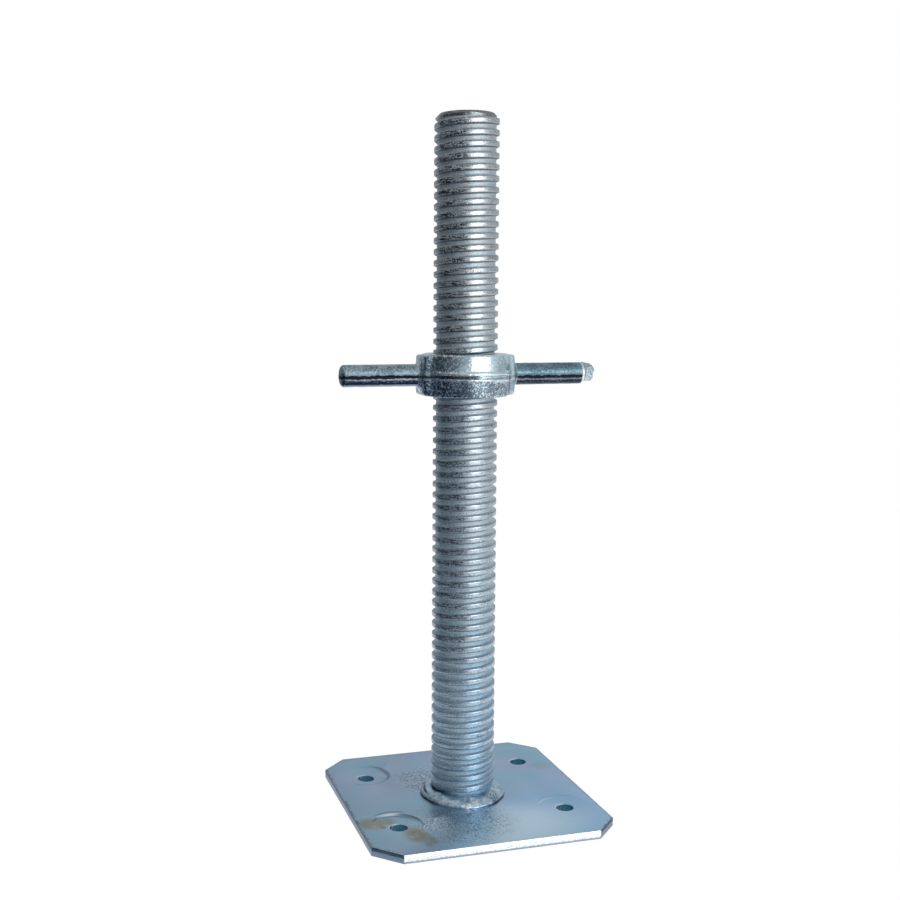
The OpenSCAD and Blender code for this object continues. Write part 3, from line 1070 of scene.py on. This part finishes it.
def plate_finish():
    finish, tree, shader, coords = new_finish("zinc_plate")
    face = split(tree.nodes["Texture Coordinate"].outputs["Normal"])
    cloud = grain(coords, 22, 2.0)
    wisp = grain(coords, 48, 3.0)
    place = split(coords)
    sand = grain(coords, 1500, 2.0, 0.6)
    ragged = grain(coords, 130, 3.0, 0.6)
    tint = colour_mix(step(cloud, 0.38, 0.62), (0.33, 0.57, 0.73), (0.44, 0.54, 0.76))
    tint = paint(tint, step(wisp, 0.45, 0.7), 0.5, (0.35, 0.55, 0.67))
    left_part = step(place["X"], *LEFT_PART)
    tint = paint(tint, left_part, 0.4, (0.4, 0.54, 0.68))
    right_part = near(coords, *RIGHT_PART)
    tint = paint(tint, right_part, 0.7, (0.35, 0.62, 0.88))
    heat = calc("MAXIMUM", near(coords, *WELD_GRIT), near(coords, *FRONT_GRIT))
    heat = times(heat, step(ragged, 0.25, 0.6))
    front_part = near(coords, *FRONT_PART)
    tint = paint(tint, front_part, 0.9, (0.66, 0.86, 1.0))
    specks = times(heat, step(sand, 0.53, 0.43))
    sparks = times(heat, step(sand, 0.5, 0.6))
    colour = paint(tint, sparks, 0.75, (0.8, 0.94, 1.0))
    colour = paint(colour, specks, 0.68, (0.05, 0.08, 0.12))
    brown = 0.0
    for spot, stretch, reach, weight in STAINS:
        tide = near(coords, (*spot, PLATE_TOP), stretch, 0.35 * reach, reach)
        brown = calc("MAXIMUM", brown, times(tide, weight))
    brown = times(brown, step(grain(coords, 240, 3.0, 0.6), 0.18, 0.52))
    colour = colour_mix(brown, colour, (0.33, 0.32, 0.24))
    for spot, reach, weight in RUST:
        rust = near(coords, (*spot, PLATE_TOP), (1, 1, 0), 0.3 * reach, reach)
        colour = colour_mix(times(rust, weight), colour, (0.36, 0.19, 0.07))
    # Arcs of painted shade and painted highlight around the press marks.
    for (x, y), radius, width, degrees, spread, weight, painted_tone in PRESSED:
        arc = on_arc(coords, (x, y, 0), radius, width, degrees, spread)
        colour = colour_mix(times(arc, weight), colour, painted_tone)
    spots = step(grain(coords, 700, 2.0, 0.6), 0.48, 0.60)
    for side_x, side_y, _, _ in MARKS:
        x, y = side_x * HOLE_X, side_y * HOLE_Y
        # Painted shade: the holes' walls are dark teal, with painted highlights as light spots and a light
        # rim.
        wall = near(coords, (x, y, 0), (1, 1, 0), HOLE_R + 0.1 * MM, HOLE_R + 0.35 * MM)
        colour = paint(colour, wall, 0.92, (0.09, 0.34, 0.5))
        lit_at = (x - 3.5 * MM, y + 3.0 * MM, PLATE_TOP - MM)
        lit_side = near(coords, lit_at, (1, 1, 1), 1.5 * MM, 4.5 * MM)
        shine = times(wall, lit_side, spots)
        colour = paint(colour, shine, 0.95, (1.0, 1.0, 1.0))
        edge = on_arc(coords, (x, y, 0), HOLE_R + 0.5 * MM, 0.6 * MM, 125, 62)
        colour = paint(colour, edge, 0.5, GLINT)
    rim = outside_plate(coords, 2 * MM, MM, 3 * MM, 1.5 * MM)
    side = times(rim, step(calc("ABSOLUTE", face["Z"]), 0.75, 0.35))
    front = times(side, step(face["Y"], -0.8, -0.95))
    torn = grain(stretched(coords, (1, 1, 2)), 620, 3.0, 0.7)
    break_line = shifted(place["Z"], torn, 1.6 * MM)
    upper = step(break_line, 3.6 * MM, 4.0 * MM)
    sheared = colour_mix(upper, (0.20, 0.28, 0.38), (0.07, 0.10, 0.145))
    colour = colour_mix(side, colour, sheared)
    # Painted highlight: the front side is bright white above its torn lower band.
    bright_band = step(break_line, 1.6 * MM, 2.2 * MM)
    bright = colour_mix(bright_band, (0.26, 0.35, 0.45), (1.0, 1.0, 1.0))
    bright = paint(bright, step(sand, 0.56, 0.42), 0.5, (0.36, 0.47, 0.58))
    colour = colour_mix(front, colour, bright)
    # A broken dark line along the top edge of the sides, except in front.
    corner = times(rim, step(place["Z"], PLATE_TOP - 1.2 * MM, PLATE_TOP - 0.5 * MM))
    back_rim = step(place["Y"], -HALF_PLATE + 3 * MM, -HALF_PLATE + 5 * MM)
    dark_top_edge = times(corner, times(step(torn, 0.56, 0.46), back_rim))
    dark_top_edge = times(dark_top_edge, step(ragged, 0.3, 0.6))
    colour = paint(colour, dark_top_edge, 0.7, (0.07, 0.1, 0.14))
    rough = between(wisp, 0.34, 0.46)
    grit = shifted(0.05, heat, 0.8)
    normal = bumped(times(sand, grit), 0.16 * MM)
    normal = bumped(times(torn, side), 0.25 * MM, under=normal)
    connect(tree, shader, colour=colour, roughness=rough, normal=normal)
    return finish


plate.data.materials.append(plate_finish())


# %% [markdown]
# ## The weld's finish
# The bead froze lumpy. Its tops are painted lighter and the pits between them darker, as painted
# highlight and painted shade, with one bright spot of painted glint and one patch of fine cracks. A
# line of painted shade follows the toe, weak in front. At the left the gap beside the stem and the
# bead's start are painted nearly black, as painted shadow.

# %% Zinc on the weld
GLINT_SPOT = ((-0.0040, -0.0215, 0.0080), (0.8, 1, 1), 2.5 * MM, 7 * MM)
CRACKLED = ((0.0140, -0.0185, 0.0085), (1, 1, 1), 4 * MM, 6.5 * MM)
FRONT_TOE = (-108, 25, 50)
GAP_SHADOW = ((0, 0, 0), 17.8 * MM, 2.0 * MM, 181, 38)
BEAD_START = ((0, 0, 0), 23.2 * MM, 1.0 * MM, 158, 38)


def weld_finish():
    finish, tree, shader, coords = new_finish("zinc_weld")
    lumps = grain(coords, 260, 4.0, 0.65)
    quick = grain(coords, 900, 2.0, 0.6)
    # Painted highlight on the lumps' tops and painted shade in the pits between them.
    tint = colour_mix(step(lumps, 0.35, 0.65), (0.36, 0.52, 0.66), (0.58, 0.74, 0.88))
    pits = step(shifted(quick, lumps, 0.5), 0.7, 0.58)
    colour = paint(tint, pits, 0.45, (0.05, 0.07, 0.09))
    # Painted glint: a bright white spot on the bead.
    glint_spot = near(coords, *GLINT_SPOT)
    glint_spot = times(glint_spot, step(grain(coords, 420, 3.0, 0.6), 0.52, 0.6))
    colour = paint(colour, glint_spot, 0.9, (1.0, 1.0, 1.0))
    cracks = put(
        tree, "ShaderNodeTexVoronoi", {"Vector": coords, "Scale": 620.0}, feature="DISTANCE_TO_EDGE",
    )
    crackled = near(coords, *CRACKLED)
    crackled = times(crackled, step(cracks.outputs["Distance"], 0.16, 0.05))
    colour = paint(colour, crackled, 0.7, (0.06, 0.08, 0.09))
    # Painted shade along the toe, weaker in front.
    toe_shade = step(split(coords)["Z"], PLATE_TOP + 1.6 * MM, PLATE_TOP + 0.7 * MM)
    flat, radius = from_axis(coords)
    in_front = facing_side(flat, radius, *FRONT_TOE)
    toe_shade = times(toe_shade, shifted(0.9, in_front, -0.65))
    colour = colour_mix(toe_shade, colour, (0.03, 0.045, 0.06))
    # Painted shadow in the gap beside the stem and at the bead's start.
    gap_shadow = on_arc(coords, *GAP_SHADOW)
    start = on_arc(coords, *BEAD_START)
    gap_shadow = calc("MAXIMUM", gap_shadow, times(start, 0.9))
    colour = paint(colour, gap_shadow, 0.95, (0.008, 0.012, 0.018))
    rough = between(lumps, 0.22, 0.42)
    normal = bumped(lumps, 0.45 * MM)
    normal = bumped(quick, 0.12 * MM, under=normal)
    connect(tree, shader, colour=colour, roughness=rough, normal=normal)
    return finish


weld.data.materials.append(weld_finish())


# %% [markdown]
# ## A white studio
# Metal shows its surroundings more than its own colour, so the surroundings are the light. A dome of
# cards stands over the jack: bright at the right of the lens, grey behind and overhead, and dark at
# the front left, as the walls of a yard would be. A dark card lies on the floor in front. Only
# reflections and light meet them, and the lens looks through them. The floor is white to the lens
# and in the metal, apart from a small share of plain paint, which keeps the shadow, and under the
# plate it is paint alone, so it doesn't glow there.

# %% Dome, floor and world
DOME_R = 1.3
OVERHEAD = 0.52
OVERHEAD_FROM = 0.35
OVERHEAD_TO = 0.9
FLOOR_SIZE = 6
FLOOR_GLOW = 1.04
FLOOR_SHARE = 0.95
TO_LENS = -109.2
CARDS = (
    (-180, 0.58), (-130, 0.30), (-105, 0.13), (-78, 0.085), (-55, 0.10), (-35, 0.21), (-12, 0.36),
    (12, 0.46), (30, 1.2), (55, 1.2), (75, 0.58), (110, 0.48), (150, 0.62), (180, 0.58),
)
WORLD_LIGHT = 0.75
WORLD_WHITE = 1.0
CARD_NEAR = 0.16
CARD_FROM = -125
CARD_TO = 15
CARD_LEVEL = (0.14, 0.18, 0.24, 1)


def open_shader(name):
    material = bpy.data.materials.new(name)
    material.use_nodes = True
    material.node_tree.nodes.clear()
    tree = material.node_tree
    return material, tree, tree.nodes.new("ShaderNodeOutputMaterial")


def seen_rays(tree):
    """1 for rays from the lens, and for those that metal or glass sends on."""
    path = tree.nodes.new("ShaderNodeLightPath")
    either = calc("MAXIMUM", path.outputs["Is Camera Ray"], path.outputs["Is Glossy Ray"])
    return calc("MAXIMUM", either, path.outputs["Is Transmission Ray"])


def glowing_card(name, bm, level_of):
    """A stage card that glows, unseen by the lens and throwing no shadow."""
    card = loose_object(bm, name)
    material, tree, output = open_shader(name + "_glow")
    glow = put(tree, "ShaderNodeEmission", {"Color": level_of(tree), "Strength": 1.0})
    tree.links.new(glow.outputs[0], output.inputs[0])
    card.data.materials.append(material)
    card.visible_camera = False
    card.visible_shadow = False
    return card


def card_colour(level):
    """Dark cards are bluer, as open shade is."""
    cool = max(0, 1 - level / 0.7)
    return (level * (1 - 0.14 * cool), level, level * (1 + 0.16 * cool), 1)


def card_levels(tree):
    """Brightness by compass direction from the jack, fading to one level overhead."""
    coords = tree.nodes.new("ShaderNodeTexCoord").outputs["Object"]
    turned = put(
        tree, "ShaderNodeVectorRotate", {"Vector": coords, "Angle": -math.radians(TO_LENS)},
        rotation_type="Z_AXIS",
    ).outputs[0]
    place = split(turned)
    around = calc("ARCTAN2", place["Y"], place["X"])
    turn = put(tree, "ShaderNodeMapRange", {"Value": around, "From Min": -math.pi, "From Max": math.pi})
    ramp = put(tree, "ShaderNodeValToRGB", {0: turn.outputs[0]})
    stops = ramp.color_ramp.elements
    for degrees, level in CARDS[1:-1]:
        stops.new((degrees + 180) / 360).color = card_colour(level)
    stops[0].color = card_colour(CARDS[0][1])
    stops[-1].color = card_colour(CARDS[-1][1])
    high = step(place["Z"], OVERHEAD_FROM * DOME_R, OVERHEAD_TO * DOME_R)
    return colour_mix(high, ramp.outputs[0], (OVERHEAD, OVERHEAD, OVERHEAD))


def make_dome():
    bm = bmesh.new()
    bmesh.ops.create_uvsphere(bm, u_segments=64, v_segments=32, radius=DOME_R)
    bmesh.ops.bisect_plane(
        bm, geom=everything(bm), dist=1e-6,
        plane_co=(0, 0, 0.002), plane_no=(0, 0, -1), clear_outer=True,
    )
    glowing_card("light_dome", bm, card_levels)


def make_dark_card():
    bm = bmesh.new()
    start = math.radians(TO_LENS + CARD_FROM)
    direction = Vector((math.cos(start), math.sin(start), 0))
    verts, edges = chain(bm, [direction * reach + Vector((0, 0, MM)) for reach in (CARD_NEAR, DOME_R)])
    bmesh.ops.spin(
        bm, geom=verts + edges, cent=(0, 0, 0), axis=(0, 0, 1), dvec=(0, 0, 0),
        angle=math.radians(CARD_TO - CARD_FROM), steps=24,
    )

    def dark(tree):
        return put(tree, "ShaderNodeRGB").outputs[0]

    card = glowing_card("front_card", bm, dark)
    colour = card.data.materials[0].node_tree.nodes["RGB"].outputs[0]
    colour.default_value = CARD_LEVEL
    card.visible_diffuse = False


def make_floor():
    bm = bmesh.new()
    bmesh.ops.create_grid(bm, x_segments=1, y_segments=1, size=FLOOR_SIZE)
    floor = loose_object(bm, "white_floor")
    material, tree, output = open_shader("floor_paint")
    paint = put(tree, "ShaderNodeBsdfDiffuse", {"Color": (0.9, 0.9, 0.9, 1)})
    white = put(tree, "ShaderNodeEmission", {"Color": (1, 1, 1, 1), "Strength": FLOOR_GLOW})
    coords = tree.nodes.new("ShaderNodeTexCoord").outputs["Object"]
    clear = outside_plate(coords, 6 * MM, MM, 8 * MM, MM)
    share = times(seen_rays(tree), times(clear, FLOOR_SHARE))
    mixed = put(tree, "ShaderNodeMixShader", {0: share, 1: paint.outputs[0], 2: white.outputs[0]})
    tree.links.new(mixed.outputs[0], output.inputs[0])
    floor.data.materials.append(material)


def make_world():
    world = bpy.data.worlds.new("studio_air")
    bpy.context.scene.world = world
    world.use_nodes = True
    tree = world.node_tree
    level = between(seen_rays(tree), WORLD_LIGHT, WORLD_WHITE)
    tree.links.new(level, tree.nodes["Background"].inputs["Strength"])
    tree.nodes["Background"].inputs["Color"].default_value = (1, 1, 1, 1)


make_dome()
make_dark_card()
make_floor()
make_world()


# %% [markdown]
# ## Lamps
# Two soft lamps: a large one at the right of the lens, which draws the bright stripe down the stem
# and the white patch on the nut, and a weak one behind the jack. Each row of the table says how far
# round from the lens it stands, how high, what height it aims at, its width and height, and its glow.

# %% Soft lamps
def soft_lamp(name, place, target, width, height, glow):
    """A rectangular lamp whose face shines with that glow, whatever its size."""
    lamp = bpy.data.lights.new(name, "AREA")
    lamp.shape = "RECTANGLE"
    lamp.size = width
    lamp.size_y = height
    lamp.energy = glow * math.pi * width * height
    obj = bpy.data.objects.new(name, lamp)
    bpy.context.scene.collection.objects.link(obj)
    aim = Vector(target) - Vector(place)
    obj.matrix_world = Matrix.Translation(place) @ aim.to_track_quat("-Z", "Y").to_matrix().to_4x4()
    obj.visible_camera = False


LAMP_DISTANCE = 1.1
LAMPS = (
    ("stripe_lamp", 40, 0.41, 0.26, 0.60, 0.28, 6.0),
    ("back_lamp", 150, 0.75, 0.20, 0.50, 0.50, 0.5),
)
for name, degrees, height, aim_height, width, length, glow in LAMPS:
    a = math.radians(TO_LENS + degrees)
    place = (LAMP_DISTANCE * math.cos(a), LAMP_DISTANCE * math.sin(a), height)
    soft_lamp(name, place, (0, 0, aim_height), width, length, glow)

# %% [markdown]
# ## The camera
# The lens stands a little above half the jack's height and left of the plate's diagonal, close enough
# for the far corner of the plate to look small.

# %% Camera at the eye's place
EYE = Vector((-233.9, -672.95, 299.0)) * MM
HEADING = math.radians(-16.075)
PITCH_DOWN = math.radians(90 - 5.345)
TILT = math.radians(0.127)
camera_data = bpy.data.cameras.new("lens")
camera_data.lens = 48.33
camera_data.sensor_width = 36
camera_data.shift_x = 0.0556
camera_data.shift_y = -0.0333
camera = bpy.data.objects.new("lens", camera_data)
bpy.context.scene.collection.objects.link(camera)
turned = Matrix.Rotation(HEADING, 4, "Z") @ Matrix.Rotation(PITCH_DOWN, 4, "X")
camera.matrix_world = Matrix.Translation(EYE) @ turned @ Matrix.Rotation(TILT, 4, "Z")
bpy.context.scene.camera = camera
bpy.context.scene.view_settings.view_transform = "Standard"
